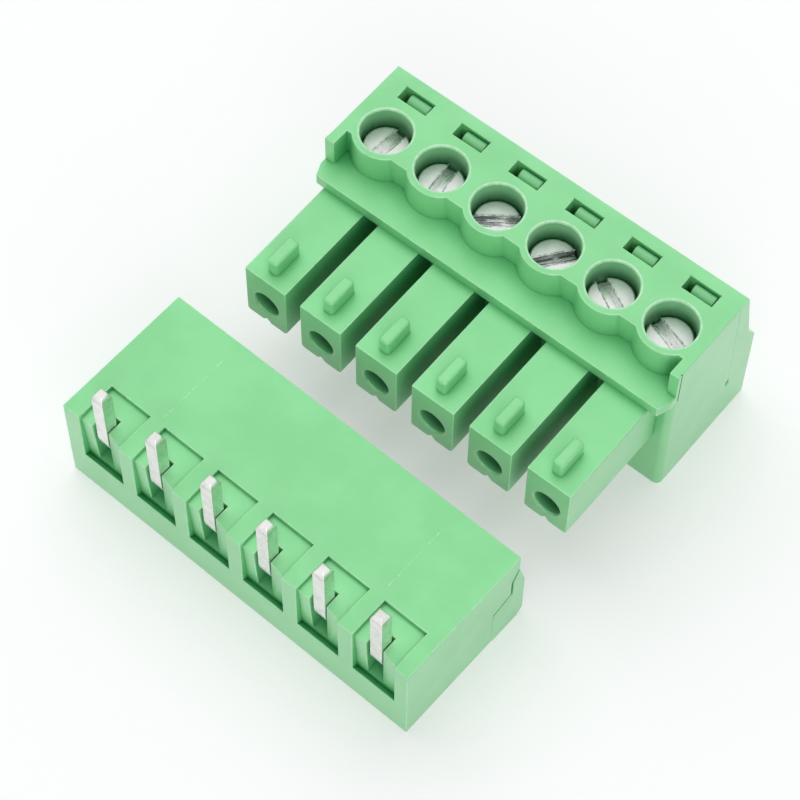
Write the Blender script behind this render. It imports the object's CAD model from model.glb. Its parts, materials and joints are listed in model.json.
import json
import math

import bmesh
import bpy
from mathutils import Matrix, Vector
from mathutils.bvhtree import BVHTree


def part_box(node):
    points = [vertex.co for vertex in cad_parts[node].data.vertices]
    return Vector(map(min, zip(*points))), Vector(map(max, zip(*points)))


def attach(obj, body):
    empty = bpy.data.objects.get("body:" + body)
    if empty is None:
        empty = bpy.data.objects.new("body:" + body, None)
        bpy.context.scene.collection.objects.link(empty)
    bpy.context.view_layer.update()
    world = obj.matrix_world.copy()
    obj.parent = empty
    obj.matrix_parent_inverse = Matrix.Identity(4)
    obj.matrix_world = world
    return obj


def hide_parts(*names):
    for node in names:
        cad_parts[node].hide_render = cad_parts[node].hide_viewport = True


mm = 0.001
pitch = 3.81
poles = range(1, 7)

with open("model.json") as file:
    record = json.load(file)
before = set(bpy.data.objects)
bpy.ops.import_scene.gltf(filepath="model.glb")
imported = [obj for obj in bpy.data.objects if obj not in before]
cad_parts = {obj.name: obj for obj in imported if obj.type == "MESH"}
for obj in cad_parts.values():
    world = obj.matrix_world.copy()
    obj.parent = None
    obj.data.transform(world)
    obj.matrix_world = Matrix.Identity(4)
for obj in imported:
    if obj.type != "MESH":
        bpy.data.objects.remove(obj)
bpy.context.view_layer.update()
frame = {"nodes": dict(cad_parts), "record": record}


def bodyOf(node):
    bodies = frame["record"]["behaviour"]["bodies"]
    return next(body for body, nodes in bodies.items() if node in nodes)


# X of a pole, in millimetres
def poleAt(i):
    return (i - (len(poles) + 1) / 2) * pitch


# Shader maths


class Wire:
    def __init__(self, shader, socket):
        self.shader = shader
        self.socket = socket

    def __add__(self, other):
        return self.shader.math("ADD", self, other)

    def __radd__(self, other):
        return self.shader.math("ADD", other, self)

    def __sub__(self, other):
        return self.shader.math("SUBTRACT", self, other)

    def __rsub__(self, other):
        return self.shader.math("SUBTRACT", other, self)

    def __mul__(self, other):
        return self.shader.math("MULTIPLY", self, other)

    def __rmul__(self, other):
        return self.shader.math("MULTIPLY", other, self)

    def __truediv__(self, other):
        return self.shader.math("DIVIDE", self, other)

    def __pow__(self, other):
        return self.shader.math("POWER", self, other)

    def __abs__(self):
        return self.shader.math("ABSOLUTE", self)

    def lowest(self, other):
        return self.shader.math("MINIMUM", self, other)

    def highest(self, other):
        return self.shader.math("MAXIMUM", self, other)

    def hypot(self, other):
        return (self * self + other * other) ** 0.5

    # 0 before start and 1 after end, whichever of them is the larger
    def ramp(self, start, end):
        return self.shader.add(
            "ShaderNodeMapRange",
            {"Value": self, "From Min": start, "From Max": end},
            interpolation_type="SMOOTHSTEP",
        )


class Graph:
    def add(self, kind, inputs=None, out=0, **settings):
        node = self.tree.nodes.new(kind)
        for key, value in settings.items():
            setattr(node, key, value)
        for key, value in (inputs or {}).items():
            if isinstance(value, Wire):
                self.tree.links.new(value.socket, node.inputs[key])
            else:
                node.inputs[key].default_value = value
        return Wire(self, node.outputs[out]) if node.outputs else node

    def math(self, operation, a, b=0.0):
        return self.add("ShaderNodeMath", {0: a, 1: b}, operation=operation)

    def vector(self, operation, a, b, out=0):
        return self.add("ShaderNodeVectorMath", {0: a, 1: b}, out, operation=operation)


class Shader(Graph):
    def __init__(self, name):
        self.material = bpy.data.materials.new(name)
        self.material.use_nodes = True
        self.tree = self.material.node_tree
        self.tree.nodes.clear()

    def mix(self, factor, a, b, blend="MIX"):
        return self.add(
            "ShaderNodeMix", {0: factor, 6: a, 7: b}, 2, data_type="RGBA", blend_type=blend
        )

    # The three parts of a vector
    def split(self, place):
        parts = ("X", "Y", "Z")
        return [self.add("ShaderNodeSeparateXYZ", {"Vector": place}, part) for part in parts]

    # Object coordinates in millimetres
    def place(self, stretch=(1, 1, 1), turn=(0, 0, 0), middle=(0, 0, 0)):
        seen = self.add("ShaderNodeTexCoord", out="Object")
        moved = self.vector("SUBTRACT", seen, tuple(c * mm for c in middle))
        return self.add(
            "ShaderNodeMapping",
            {"Vector": moved, "Rotation": turn, "Scale": tuple(s / mm for s in stretch)},
            vector_type="POINT",
        )

    def noise(self, place, scale, detail=2.0, rough=0.5):
        return self.add(
            "ShaderNodeTexNoise",
            {"Vector": place, "Scale": scale, "Detail": detail, "Roughness": rough},
            "Fac",
        )

    # From the plane of the nearest pole, in millimetres. The shift keeps the folded value positive.
    def offPole(self, x):
        shift = 5 * len(poles) * pitch
        return pitch / 2 - self.math("PINGPONG", x + shift, pitch / 2)

    def attribute(self, name, out="Fac"):
        return self.add("ShaderNodeAttribute", out=out, attribute_name=name)

    # 1 in the open and less where walls stand within reach
    def shelter(self, reach):
        return self.add(
            "ShaderNodeAmbientOcclusion", {"Distance": reach * mm}, "AO", only_local=True, samples=6
        )

    def bump(self, height, depth):
        return self.add("ShaderNodeBump", {"Height": height, "Distance": depth * mm})

    def principled(self, inputs):
        surface = self.add("ShaderNodeBsdfPrincipled", inputs)
        self.add("ShaderNodeOutputMaterial", {"Surface": surface})
        return self.material


def colour(red, green, blue):
    return (red, green, blue, 1.0)


# Moulded nylon


def nylon(name, look, lines=None, bores=None, holes=None, tabs=None):
    s = Shader(name)
    place = s.place()
    x, y, z = s.split(place)
    grain = s.noise(place, *look["grain"])
    worn = look["wornMore"] * s.noise(place, *look["wear"]).ramp(*look["wearAt"])
    mottle = s.noise(place, *look["mottle"]).ramp(*look["mottleAt"])
    tone = s.mix(mottle, look["deep"], look["light"])
    tone = s.mix(s.attribute("edge") * (look["wornLeast"] + worn), tone, look["rim"])
    hollow = s.shelter(look["wide"]).ramp(*look["wideAt"])
    corner = s.shelter(look["narrow"]).ramp(*look["narrowAt"])
    gloss = 1.0 - hollow
    shade = s.mix(1.0, tone, look["hollow"], "MULTIPLY")
    tone = s.mix(hollow * look["hollows"], tone, shade)
    tone = s.mix(corner * look["corners"], tone, look["corner"])
    if bores:
        away = s.offPole(x).hypot(y)
        ring = abs(away - bores["rim"]).ramp(*bores["ring"])
        tone = s.mix(ring * z.ramp(*bores["brim"]) * (bores["least"] + worn), tone, look["rim"])
        depth = away.ramp(*bores["wall"]) * z.ramp(*bores["mouth"]) * z.ramp(*bores["floor"])
        tone = s.mix(depth * bores["dark"], tone, look["corner"])
        gloss = gloss * (1.0 - depth)
    if holes:
        away = s.offPole(x).hypot(z - holes["height"])
        depth = away.ramp(*holes["wall"]) * y.ramp(*holes["mouth"])
        tone = s.mix(depth * holes["dark"], tone, look["corner"])
        gloss = gloss * (1.0 - depth)
    if tabs:
        inside = z.ramp(*tabs["top"]) * y.ramp(*tabs["back"])
        tone = s.mix(inside * tabs["dark"], tone, look["corner"])
    height = look["grainShare"] * grain + (1 - look["grainShare"]) * s.noise(place, *look["swell"])
    if lines:
        x, y, z = s.split(s.place(turn=lines["turn"], middle=lines["middle"]))
        broken = s.noise(place, *lines["noise"]).ramp(*lines["gaps"])
        for line in lines["at"]:
            near = abs(x - line["x"]).ramp(*lines["width"])
            reach = abs(y - line["y"]).ramp(*lines["reach"])
            mask = near * reach * z.ramp(*lines["top"]) * broken
            tone = s.mix(mask * line["strength"], tone, look["rim"])
            height = height + mask * lines["height"]
    roughness = look["roughness"] + look["uneven"] * (grain - 0.5)
    return s.principled(
        {
            "Base Color": tone,
            "Roughness": roughness + look["dull"] * (1.0 - gloss),
            "IOR": look["bend"],
            "Coat Weight": look["coat"] * gloss,
            "Coat Roughness": look["coatRoughness"],
            "Coat IOR": look["coatBend"],
            "Subsurface Weight": look["glow"],
            "Subsurface Radius": look["glowColours"],
            "Subsurface Scale": look["glowReach"] * mm,
            "Normal": s.bump(height, look["relief"]),
        }
    )


# Reaches are in millimetres. Noises are scale, detail and roughness, and ramps are start and end.
plastic = {
    "deep": colour(0.225, 0.68, 0.285),
    "light": colour(0.255, 0.735, 0.32),
    "rim": colour(0.60, 0.93, 0.64),
    "corner": colour(0.03, 0.16, 0.06),
    "corners": 0.4,
    "narrow": 0.22,
    "narrowAt": (0.72, 0.4),
    "hollow": colour(0.09, 0.46, 0.33),
    "hollows": 0.9,
    "wide": 2.8,
    "wideAt": (0.88, 0.1),
    "roughness": 0.33,
    "uneven": 0.08,
    "dull": 0.25,
    "bend": 1.62,
    "coat": 0.5,
    "coatRoughness": 0.3,
    "coatBend": 1.5,
    "glow": 0.08,
    "glowColours": (0.35, 1.0, 0.45),
    "glowReach": 0.35,
    "relief": 0.004,
    "mottle": (0.35, 3.0),
    "mottleAt": (0.3, 0.7),
    "grain": (7.0, 3.0, 0.6),
    "grainShare": 0.6,
    "swell": (1.2, 2.0),
    "wear": (3.1, 4.0, 0.7),
    "wearAt": (0.35, 0.65),
    "wornLeast": 0.35,
    "wornMore": 0.5,
}

# Two broken lines that the mould left across the header's top, in the header's own directions
mouldLines = {
    "turn": (0, 0, math.radians(1.6)),
    "middle": (-1.63, -22.22, 6.85),
    "width": (0.06, 0.03),
    "reach": (2.4, 2.2),
    "noise": (9.0, 2.0, 0.7),
    "gaps": (0.47, 0.59),
    "top": (-0.05, -0.02),
    "height": 2.5,
    "at": (
        {"x": -7.42, "y": 5.2, "strength": 0.55},
        {"x": 7.86, "y": 5.3, "strength": 0.5},
    ),
}
screwBores = {
    "rim": 1.49,
    "ring": (0.09, 0.027),
    "least": 0.3,
    "brim": (11.2, 11.32),
    "wall": (1.51, 1.46),
    "mouth": (11.2, 10.1),
    "floor": (9.2, 9.6),
    "dark": 0.86,
}
tineHoles = {"height": 6.37, "wall": (0.865, 0.835), "mouth": (-10.14, -9.48), "dark": 0.85}
windowTabs = {"top": (11.3, 11.25), "back": (3.02, 2.98), "dark": 0.3}
plugNylon = nylon("plug_nylon", plastic, bores=screwBores, holes=tineHoles)
coverNylon = nylon("cover_nylon", plastic, tabs=windowTabs)
headerNylon = nylon("header_nylon", plastic, lines=mouldLines)


# Metals


# The cut in a screw's head is streaked along its length, and its brim is ragged
def cutSlot(s, slot, tone, roughness, height):
    cut = s.attribute("slotPlace", "Vector")
    shade = s.attribute("slotShade")
    x, y, z = s.split(cut)
    across = abs(y)
    half = slot["half"]
    streak = s.noise(s.vector("MULTIPLY", cut, slot["streakStretch"]), *slot["streaks"])
    ragged = s.noise(s.vector("MULTIPLY", cut, slot["raggedStretch"]), *slot["rags"])
    inside = z.ramp(*slot["below"]) * across.ramp(half + slot["lip"], half + slot["lip"] - 0.03)
    walls = (across + slot["wallWander"] * (ragged - 0.5)).ramp(half - slot["wall"], half)
    brim = abs(across - half - slot["brimWander"] * (ragged - 0.45)).ramp(*slot["brim"])
    brim = brim * z.ramp(*slot["top"])
    stripes = (streak - (slot["stripes"] + slot["darker"] * shade)) / slot["stripeEdge"]
    stripes = stripes.highest(0.0).lowest(1.0)
    tone = s.mix(inside, tone, s.mix(stripes, slot["deep"], slot["light"]))
    tone = s.mix(inside * walls * slot["wallDark"] * shade, tone, slot["deep"])
    tone = s.mix(brim * ragged.ramp(*slot["brimAt"]) * slot["brimDark"], tone, slot["deep"])
    height = height + streak * inside * slot["streakHeight"] + ragged * brim * slot["brimHeight"]
    return tone, roughness - slot["polish"] * inside, height


allMetals = {
    "blotches": (4.0, 0.6),
    "blotchAt": (0.3, 0.7),
    "scratches": (2.2, 3.0, 0.7),
    "scratched": 0.15,
}


def plated(name, look, slot=None):
    s = Shader(name)
    place = s.place()
    blotch = s.noise(place, look["blotch"], *allMetals["blotches"])
    scratch = s.noise(s.place(look["stretch"], look["turn"]), *allMetals["scratches"])
    tone = s.mix(blotch.ramp(*allMetals["blotchAt"]), look["deep"], look["light"])
    roughness = look["roughness"] + look["variation"] * (blotch - 0.5)
    roughness = roughness + allMetals["scratched"] * (scratch - 0.5)
    height = scratch
    if slot:
        tone, roughness, height = cutSlot(s, slot, tone, roughness, height)
    return s.principled(
        {
            "Base Color": tone,
            "Metallic": 1.0,
            "Roughness": roughness,
            "Normal": s.bump(height, look["scratch"]),
        }
    )


metals = {
    "steel": {
        "deep": colour(0.86, 0.88, 0.86),
        "light": colour(0.95, 0.97, 0.95),
        "roughness": 0.42,
        "variation": 0.2,
        "blotch": 1.6,
        "stretch": (1, 14, 1),
        "turn": (0, 0, 0.6),
        "scratch": 0.004,
    },
    "zinc": {
        "deep": colour(0.50, 0.51, 0.50),
        "light": colour(0.70, 0.70, 0.68),
        "roughness": 0.36,
        "variation": 0.2,
        "blotch": 1.2,
        "stretch": (6, 1, 1),
        "turn": (0, 0, 0),
        "scratch": 0.003,
    },
    "bronze": {
        "deep": colour(0.62, 0.55, 0.42),
        "light": colour(0.76, 0.70, 0.58),
        "roughness": 0.30,
        "variation": 0.15,
        "blotch": 1.0,
        "stretch": (1, 8, 8),
        "turn": (0, 0, 0),
        "scratch": 0.002,
    },
    "tin": {
        "deep": colour(0.74, 0.735, 0.71),
        "light": colour(0.87, 0.865, 0.845),
        "roughness": 0.30,
        "variation": 0.2,
        "blotch": 1.8,
        "stretch": (8, 8, 1),
        "turn": (0, 0, 0),
        "scratch": 0.003,
    },
}
screwSlot = {
    "half": 0.325,
    "deep": colour(0.22, 0.25, 0.24),
    "light": colour(0.97, 0.98, 0.97),
    "below": (-0.03, -0.09),
    "lip": 0.05,
    "polish": 0.15,
    "streakStretch": (0.55, 9.0, 2.0),
    "streaks": (1.3, 3.0, 0.6),
    "streakHeight": 2.0,
    "stripes": 0.22,
    "darker": 0.28,
    "stripeEdge": 0.10,
    "wall": 0.1,
    "wallWander": 0.2,
    "wallDark": 0.45,
    "raggedStretch": (3.4, 2.0, 2.0),
    "rags": (1.0, 5.0, 0.75),
    "top": (-0.12, -0.04),
    "brim": (0.09, 0.02),
    "brimWander": 0.14,
    "brimAt": (0.42, 0.56),
    "brimDark": 0.85,
    "brimHeight": 3.0,
    "turns": (84, 96, 38, 52, -28, -17),
    "shades": (0.1, 0.3, 0.8, 0.9, 0.35, 0.4),
    "apart": 9.0,
}
plating = {name: plated(name + "_plating", look) for name, look in metals.items()}
plating["screw"] = plated("screw_plating", metals["steel"], screwSlot)
print("materials made")


# Geometry trees


class Shape(Graph):
    def __init__(self, name, sizes):
        self.tree = bpy.data.node_groups.new(name, "GeometryNodeTree")
        face = self.tree.interface
        face.new_socket("Geometry", in_out="OUTPUT", socket_type="NodeSocketGeometry")
        self.keys = {}
        for key, kind in sizes.items():
            made = face.new_socket(key, in_out="INPUT", socket_type="NodeSocket" + kind)
            self.keys[key] = made.identifier
        self.inside = self.tree.nodes.new("NodeGroupInput")

    def size(self, name):
        return Wire(self, self.inside.outputs[name])

    def end(self, geometry):
        whole = self.add("GeometryNodeRealizeInstances", {"Geometry": geometry})
        given = {"Geometry": whole, "Material": self.size("Material")}
        painted = self.add("GeometryNodeSetMaterial", given)
        out = self.tree.nodes.new("NodeGroupOutput")
        self.tree.links.new(painted.socket, out.inputs["Geometry"])

    def mesh(self, name, sizes):
        holder = bpy.data.objects.new(name, bpy.data.meshes.new(name))
        bpy.context.scene.collection.objects.link(holder)
        modifier = holder.modifiers.new(name, "NODES")
        modifier.node_group = self.tree
        for key, value in sizes.items():
            modifier[self.keys[key]] = value
        graph = bpy.context.evaluated_depsgraph_get()
        plain = bpy.data.meshes.new_from_object(holder.evaluated_get(graph), depsgraph=graph)
        bpy.data.objects.remove(holder)
        return plain


# A ragged ridge of metal or plastic along a straight edge
def burrShape():
    sizes = {
        "Start": "Vector",
        "End": "Vector",
        "Points": "Int",
        "Radius": "Float",
        "Wander": "Float",
        "Seed": "Int",
        "Material": "Material",
    }
    g = Shape("burr", sizes)
    line = g.add(
        "GeometryNodeCurvePrimitiveLine", {"Start": g.size("Start"), "End": g.size("End")}
    )
    line = g.add("GeometryNodeResampleCurve", {"Curve": line, "Count": g.size("Points")})
    stray = g.add(
        "FunctionNodeRandomValue",
        {0: (-1, -1, -1), 1: (1, 1, 1), "Seed": g.size("Seed")},
        data_type="FLOAT_VECTOR",
    )
    offset = g.vector("MULTIPLY", stray, g.size("Wander"))
    line = g.add("GeometryNodeSetPosition", {"Geometry": line, "Offset": offset})
    swell = g.add(
        "FunctionNodeRandomValue", {2: 0.15, 3: 1.0, "Seed": g.size("Seed")}, 1, data_type="FLOAT"
    )
    ring = g.add("GeometryNodeCurvePrimitiveCircle", {"Resolution": 5, "Radius": g.size("Radius")})
    tube = g.add(
        "GeometryNodeCurveToMesh",
        {"Curve": line, "Profile Curve": ring, "Scale": swell, "Fill Caps": True},
    )
    g.end(tube)
    return g


# A screw thread as a fine ridge wound round a shank
def threadShape():
    sizes = {
        "Radius": "Float",
        "Pitch": "Float",
        "Turns": "Float",
        "Ridge": "Float",
        "Foot": "Vector",
        "Material": "Material",
    }
    g = Shape("thread", sizes)
    radius = g.size("Radius")
    wound = g.add(
        "GeometryNodeCurveSpiral",
        {
            "Resolution": 28,
            "Rotations": g.size("Turns"),
            "Start Radius": radius,
            "End Radius": radius,
            "Height": g.size("Turns") * g.size("Pitch"),
        },
    )
    ring = g.add("GeometryNodeCurvePrimitiveCircle", {"Resolution": 4, "Radius": g.size("Ridge")})
    tube = g.add(
        "GeometryNodeCurveToMesh", {"Curve": wound, "Profile Curve": ring, "Fill Caps": True}
    )
    g.end(g.add("GeometryNodeTransform", {"Geometry": tube, "Translation": g.size("Foot")}))
    return g


burr = burrShape()
thread = threadShape()


# One plain mesh from several, riding a body
def joined(name, meshes, body):
    build = bmesh.new()
    for mesh in meshes:
        build.from_mesh(mesh)
    bmesh.ops.recalc_face_normals(build, faces=build.faces)
    whole = bpy.data.meshes.new(name)
    for material in meshes[0].materials:
        whole.materials.append(material)
    build.to_mesh(whole)
    build.free()
    made = bpy.data.objects.new(name, whole)
    bpy.context.scene.collection.objects.link(made)
    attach(made, body)


# Copies of the CAD nodes with their sharp edges rounded. Widths are in millimetres.

fillets = {
    "weld": 0.02,
    "flat": math.radians(0.5),
    "sharp": math.radians(30),
    "crease": math.radians(50),
    "stray": 0.85,
    "tries": 4,
}


def nowhere(middle):
    return False


# Only edges that stand out are rounded, and a hollow corner keeps its line
def rounded(plain, width, segments, kept, plainAt):
    build = bmesh.new()
    build.from_mesh(plain)
    build.edges.ensure_lookup_table()
    edges = [
        e
        for e in build.edges
        if e.index not in kept
        and e.is_manifold
        and e.calc_face_angle_signed() > fillets["sharp"]
        and not plainAt((e.verts[0].co + e.verts[1].co) / 2 / mm)
    ]
    made = bmesh.ops.bevel(
        build,
        geom=edges,
        offset=width * mm,
        offset_type="OFFSET",
        segments=segments,
        profile=0.5,
        affect="EDGES",
        clamp_overlap=False,
    )
    build.normal_update()
    return build, set(made["faces"])


# Short edges near a vertex that the fillets pushed off the old surface
def crowded(stray, edges, reach):
    found = set()
    for co in stray:
        for ends, index in edges:
            near = min((end - co).length for end in ends) < reach
            if near and (ends[0] - ends[1]).length < 2.0 * reach:
                found.add(index)
    return found


# Where rounded edges would overlap, the edges nearby stay sharp
def softened(node, material, width, segments=2, before=None, plainAt=nowhere):
    mesh = frame["nodes"][node].data.copy()
    build = bmesh.new()
    build.from_mesh(mesh)
    bmesh.ops.remove_doubles(build, verts=build.verts, dist=fillets["weld"] * mm)
    bmesh.ops.dissolve_limit(
        build, angle_limit=fillets["flat"], verts=build.verts, edges=build.edges
    )
    if before:
        before(build)
    build.to_mesh(mesh)
    surface = BVHTree.FromBMesh(build)
    build.edges.index_update()
    edges = [([v.co.copy() for v in e.verts], e.index) for e in build.edges]
    build.free()
    kept = set()
    limit = fillets["stray"] * width * mm
    for attempt in range(fillets["tries"]):
        build, fillet = rounded(mesh, width, segments, kept, plainAt)
        stray = [v.co for v in build.verts if surface.find_nearest(v.co)[3] > limit]
        if not stray:
            break
        kept |= crowded(stray, edges, (2.0 + attempt) * width * mm)
        if attempt < fillets["tries"] - 1:
            build.free()
    print(node, len(kept), "edges kept sharp")
    layer = build.verts.layers.float.new("edge")
    for v in build.verts:
        v[layer] = float(bool(v.link_faces) and all(f in fillet for f in v.link_faces))
    for face in build.faces:
        face.smooth = True
        face.material_index = 0
    for edge in build.edges:
        edge.smooth = edge.is_manifold and edge.calc_face_angle() < fillets["crease"]
    build.to_mesh(mesh)
    build.free()
    mesh.materials.clear()
    mesh.materials.append(material)
    made = bpy.data.objects.new(node + "_finished", mesh)
    bpy.context.scene.collection.objects.link(made)
    weighted = made.modifiers.new("weighted normals", "WEIGHTED_NORMAL")
    weighted.mode = "FACE_AREA"
    weighted.keep_sharp = True
    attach(made, bodyOf(node))
    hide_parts(node)
    return made


# Edges without a fillet: the tight seam on the top, and the small steps at the plug's ends
def onSeam(middle):
    step = abs(middle.x) > 11.55 and -2.7 < middle.y < -2.0
    seam = middle.z > 11.38 and abs(middle.y - 3.0) < 0.03
    return step or seam


# The same for the floors of the header's pockets
def onFloor(middle):
    return abs(middle.z - 2.9) < 0.03


# The keys on the tines are rounder than the rest at their front
key = {"foot": 8.8, "front": -6.5, "corner": 0.7, "radius": 0.2}


def roundKeys(build):
    edges = []
    for e in build.edges:
        ends = [v.co / mm for v in e.verts]
        high = max(end.z for end in ends) > key["foot"]
        front = all(end.y < key["front"] for end in ends)
        if high and front and e.calc_face_angle() > key["corner"]:
            edges.append(e)
    print(len(edges), "key edges rounded")
    bmesh.ops.bevel(
        build,
        geom=edges,
        offset=key["radius"] * mm,
        offset_type="OFFSET",
        segments=4,
        profile=0.5,
        affect="EDGES",
    )


# The cover's tabs in the test windows are round on top, with the crown towards the back
tab = {
    "front": 2.25,
    "back": 3.0,
    "top": 10.9,
    "crown": 11.2,
    "drops": (0.6, 0.2),
    "crownAt": 0.3,
    "bulge": 0.92,
    "steps": 10,
}


def roundTabs(build):
    middle = (tab["front"] + tab["back"]) / 2
    half = (tab["back"] - tab["front"]) / 2
    tops = [
        f
        for f in build.faces
        if f.normal.z > 0.9 and abs(f.calc_center_median().z / mm - tab["top"]) < 0.02
    ]
    parts = set(tops)
    for step in range(1, tab["steps"]):
        y = middle - half * math.cos(math.pi * step / tab["steps"])
        geom = list(parts) + list({e for f in parts for e in f.edges})
        geom += list({v for f in parts for v in f.verts})
        cut = bmesh.ops.bisect_plane(
            build, geom=geom, plane_co=(0, y * mm, 0), plane_no=(0, 1, 0), dist=1e-7
        )
        parts = {g for g in cut["geom"] if isinstance(g, bmesh.types.BMFace)}
    for v in {v for f in parts for v in f.verts}:
        across = max(-1.0, min(1.0, (v.co.y / mm - middle) / half)) - tab["crownAt"]
        away = across / (1 - tab["crownAt"] if across > 0 else 1 + tab["crownAt"])
        drop = tab["drops"][across > 0] * (1 - math.sqrt(1 - tab["bulge"] * away * away))
        v.co.z = (tab["crown"] - drop) * mm
    print(len(tops), "tabs rounded")


# Burrs along a screw's slot, and the thread on its shank
screwTrim = {
    "head": 10.0,
    "headBase": 8.9,
    "slotEnd": 1.27,
    "points": 44,
    "burr": 0.032,
    "wander": 0.022,
    "sink": 0.012,
    "shank": 0.945,
    "ridge": 0.035,
    "pitch": 0.4,
    "tip": 0.1,
}


def trimScrew(i):
    trim = screwTrim
    turn = Matrix.Rotation(math.radians(screwSlot["turns"][i - 1]), 3, "Z")
    middle = Vector((poleAt(i), 0, trim["head"] - trim["sink"]))
    meshes = []
    for side in (-1, 1):
        start, end = (
            (middle + turn @ Vector((way * trim["slotEnd"], side * screwSlot["half"], 0))) * mm
            for way in (-1, 1)
        )
        sizes = {
            "Start": start[:],
            "End": end[:],
            "Points": trim["points"],
            "Radius": trim["burr"] * mm,
            "Wander": trim["wander"] * mm,
            "Seed": 10 * i + side,
            "Material": plating["steel"],
        }
        meshes.append(burr.mesh("burr", sizes))
    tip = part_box(f"screw_{i}")[0].z / mm + trim["tip"]
    sizes = {
        "Radius": trim["shank"] * mm,
        "Pitch": trim["pitch"] * mm,
        "Turns": (trim["headBase"] - tip) / trim["pitch"],
        "Ridge": trim["ridge"] * mm,
        "Foot": (poleAt(i) * mm, 0.0, tip * mm),
        "Material": plating["steel"],
    }
    meshes.append(thread.mesh("thread", sizes))
    joined(f"screw_trim_{i}", meshes, f"screw_{i}")


# Places on a screw's head: along its slot, across it and up from its top. The screws lie apart
# along it, so that no two are streaked alike.
def placeSlot(screw, i):
    back = Matrix.Rotation(-math.radians(screwSlot["turns"][i - 1]), 3, "Z")
    middle = Vector((poleAt(i), 0, screwTrim["head"]))
    apart = Vector((screwSlot["apart"] * i, 0, 0))
    layer = screw.data.attributes.new("slotPlace", "FLOAT_VECTOR", "POINT")
    for v, value in zip(screw.data.vertices, layer.data):
        value.vector = back @ (v.co / mm - middle) + apart
    shade = screw.data.attributes.new("slotShade", "FLOAT", "POINT")
    shade.data.foreach_set("value", [screwSlot["shades"][i - 1]] * len(screw.data.vertices))


softened("plug_housing", plugNylon, 0.07, before=roundKeys, plainAt=onSeam)
softened("rear_cover", coverNylon, 0.07, before=roundTabs, plainAt=onSeam)
softened("header_housing", headerNylon, 0.07, plainAt=onFloor)
for i in poles:
    screw = softened(f"screw_{i}", plating["screw"], 0.04)
    placeSlot(screw, i)
    trimScrew(i)
    softened(f"clamp_cage_{i}", plating["zinc"], 0.05)
    softened(f"contact_{i}", plating["bronze"], 0.02, 1)
    softened(f"header_pin_{i}", plating["tin"], 0.05)

# Flash along the seam on the plug's ends, which leans back towards the foot
flash = {
    "x": 11.75,
    "y": 2.95,
    "lean": 0.4,
    "height": 11.4,
    "ends": (0.3, 11.3),
    "points": 70,
    "radius": 0.022,
    "wander": 0.012,
    "seed": 7,
}


def flashMesh(side):
    start, end = (
        Vector((side * flash["x"], flash["y"] + flash["lean"] * (1 - z / flash["height"]), z)) * mm
        for z in flash["ends"]
    )
    sizes = {
        "Start": start[:],
        "End": end[:],
        "Points": flash["points"],
        "Radius": flash["radius"] * mm,
        "Wander": flash["wander"] * mm,
        "Seed": flash["seed"] + side,
        "Material": coverNylon,
    }
    return burr.mesh("flash", sizes)


joined("seam_flash", [flashMesh(side) for side in (-1, 1)], "block")
print("pieces finished")


# Floor, light and camera. The floor and sky have a colour of their own where the camera or a
# reflection sees them, so that the background is white with plain light on the object.

stage = {
    "half": 1.2,
    "floor": colour(0.93, 0.935, 0.94),
    "seenFloor": colour(0.60, 0.605, 0.61),
    "seenGlow": colour(0.39, 0.39, 0.39),
    "sky": 0.38,
}

# The overhead lamp stays out of the metal's reflections, which would go white with it
lamps = {
    "overhead": {"at": (-0.22, 0.20, 0.60), "size": 0.80, "power": 3.25, "mirrored": False},
    "front_right": {"at": (0.40, -0.45, 0.42), "size": 0.50, "power": 1.4, "mirrored": True},
}
view = {
    "from": (44.61, -66.95, 133.50),
    "aim": (-0.722, -9.568, 5.00),
    "lens": 124.6,
    "sensor": 36,
    "near": 0.005,
    "roll": math.radians(0.957),
}


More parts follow.
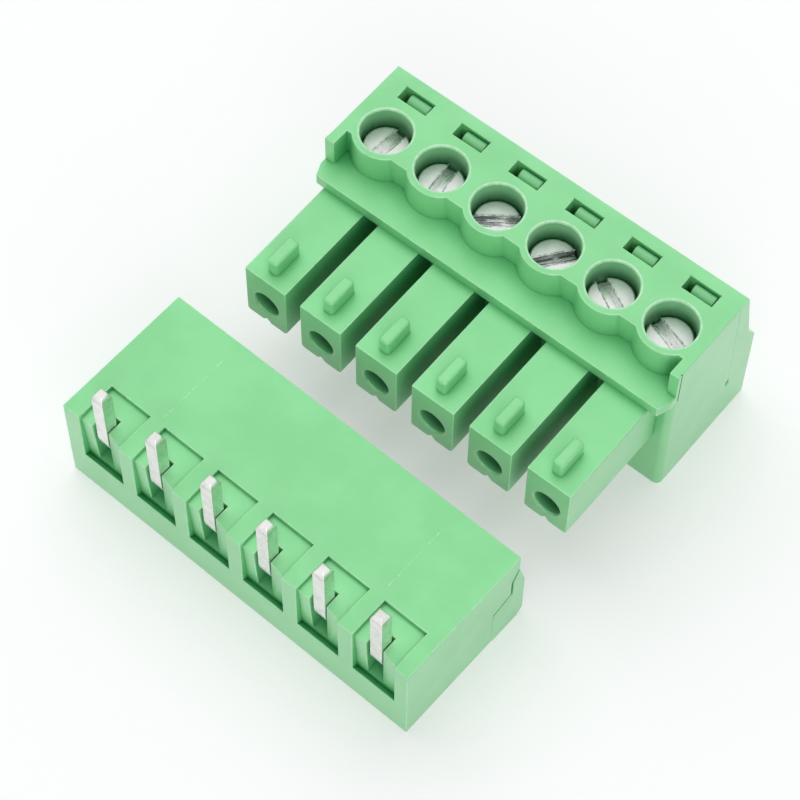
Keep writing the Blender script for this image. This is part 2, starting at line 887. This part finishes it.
def makeFloor():
    half = stage["half"]
    mesh = bpy.data.meshes.new("floor")
    corners = [(-half, -half, 0), (half, -half, 0), (half, half, 0), (-half, half, 0)]
    mesh.from_pydata(corners, [], [(0, 1, 2, 3)])
    floor = bpy.data.objects.new("floor", mesh)
    bpy.context.scene.collection.objects.link(floor)
    s = Shader("floor")
    ray = "ShaderNodeLightPath"
    seen = s.add(ray, out="Is Camera Ray").highest(s.add(ray, out="Is Glossy Ray"))
    seen = seen.highest(s.add(ray, out="Is Transmission Ray"))
    finish = s.principled(
        {
            "Base Color": s.mix(seen, stage["floor"], stage["seenFloor"]),
            "Roughness": 0.6,
            "Emission Color": s.mix(seen, colour(0, 0, 0), stage["seenGlow"]),
            "Emission Strength": 1.0,
        }
    )
    mesh.materials.append(finish)


def makeLamps():
    for name, look in lamps.items():
        lamp = bpy.data.lights.new(name, "AREA")
        lamp.shape = "SQUARE"
        lamp.size = look["size"]
        lamp.energy = look["power"]
        at = Vector(look["at"])
        aimed = at.to_track_quat("Z", "Y").to_matrix().to_4x4()
        holder = bpy.data.objects.new(name, lamp)
        holder.visible_glossy = look["mirrored"]
        holder.matrix_world = Matrix.Translation(at) @ aimed
        bpy.context.scene.collection.objects.link(holder)


def makeSky():
    world = bpy.data.worlds.new("sky")
    world.use_nodes = True
    bpy.context.scene.world = world
    tree = world.node_tree
    background = tree.nodes["Background"]
    ray = tree.nodes.new("ShaderNodeLightPath")
    seen = ray.outputs["Is Camera Ray"]
    for other in ("Is Glossy Ray", "Is Transmission Ray"):
        either = tree.nodes.new("ShaderNodeMath")
        either.operation = "MAXIMUM"
        tree.links.new(seen, either.inputs[0])
        tree.links.new(ray.outputs[other], either.inputs[1])
        seen = either.outputs[0]
    strength = tree.nodes.new("ShaderNodeMapRange")
    strength.inputs["To Min"].default_value = stage["sky"]
    strength.inputs["To Max"].default_value = 1.0
    tree.links.new(seen, strength.inputs["Value"])
    tree.links.new(strength.outputs[0], background.inputs["Strength"])
    background.inputs["Color"].default_value = colour(1, 1, 1)


def makeCamera():
    at = Vector(view["from"]) * mm
    aim = Vector(view["aim"]) * mm
    lens = bpy.data.cameras.new("camera")
    lens.lens = view["lens"]
    lens.sensor_width = view["sensor"]
    lens.clip_start = view["near"]
    holder = bpy.data.objects.new("camera", lens)
    look = (at - aim).to_track_quat("Z", "Y").to_matrix().to_4x4()
    tilt = Matrix.Rotation(view["roll"], 4, "Z")
    holder.matrix_world = Matrix.Translation(at) @ look @ tilt
    bpy.context.scene.collection.objects.link(holder)
    bpy.context.scene.camera = holder


makeFloor()
makeLamps()
makeSky()
makeCamera()
bpy.context.scene.view_settings.view_transform = "Standard"
print("stage set")
